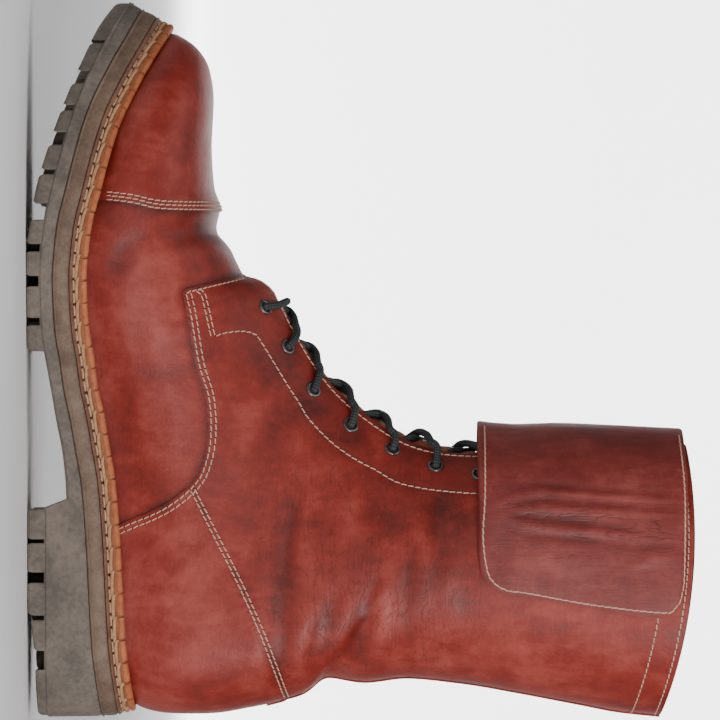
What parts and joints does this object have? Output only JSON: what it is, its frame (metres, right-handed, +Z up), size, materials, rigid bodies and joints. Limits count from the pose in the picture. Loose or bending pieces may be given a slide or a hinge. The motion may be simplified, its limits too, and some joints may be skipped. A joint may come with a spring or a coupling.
{
  "type": "lace-up boot",
  "caption": "High leather lace-up boot for the left foot with toe cap, braided welt, lugged rubber sole and a wide flap over the upper lacing.",
  "frame": {"origin": "on the floor under the middle of the whole boot's length and width", "axes": "+X from the heel to the toe, +Y to the outer side of the left foot, +Z up"},
  "size_m": [0.316, 0.1116, 0.2922],
  "materials": {
    "rubber": "worn matt grey-brown moulded rubber",
    "midsole_leather": "bare trimmed sole leather",
    "welt_leather": "stained welt leather",
    "braid_cord": "waxed braided seam",
    "insole_leather": "undyed vegetable leather",
    "upper_leather": "oiled pull-up leather, softly glossy",
    "tongue_leather": "soft brown leather",
    "flap_leather": "oiled pull-up leather, finely wrinkled",
    "eyelet_metal": "gunmetal plated",
    "lace_cord": "round waxed cord"
  },
  "bodies": {
    "root": {"outsole": "rubber", "midsole": "midsole_leather", "welt": "welt_leather", "welt_braid": "braid_cord", "insole": "insole_leather", "upper": "upper_leather", "toe_cap": "upper_leather", "counter": "upper_leather", "eyestay_outer": "upper_leather", "eyestay_inner": "upper_leather", "tongue": "tongue_leather", "cuff_flap": "flap_leather", "eyelet_outer_1": "eyelet_metal", "eyelet_outer_2": "eyelet_metal", "eyelet_outer_3": "eyelet_metal", "eyelet_outer_4": "eyelet_metal", "eyelet_outer_5": "eyelet_metal", "eyelet_outer_6": "eyelet_metal", "eyelet_outer_7": "eyelet_metal", "eyelet_inner_1": "eyelet_metal", "eyelet_inner_2": "eyelet_metal", "eyelet_inner_3": "eyelet_metal", "eyelet_inner_4": "eyelet_metal", "eyelet_inner_5": "eyelet_metal", "eyelet_inner_6": "eyelet_metal", "eyelet_inner_7": "eyelet_metal", "lace_bar": "lace_cord", "lace_crossing_1": "lace_cord", "lace_crossing_2": "lace_cord", "lace_crossing_3": "lace_cord", "lace_crossing_4": "lace_cord", "lace_crossing_5": "lace_cord", "lace_crossing_6": "lace_cord"}
  },
  "joints": []
}
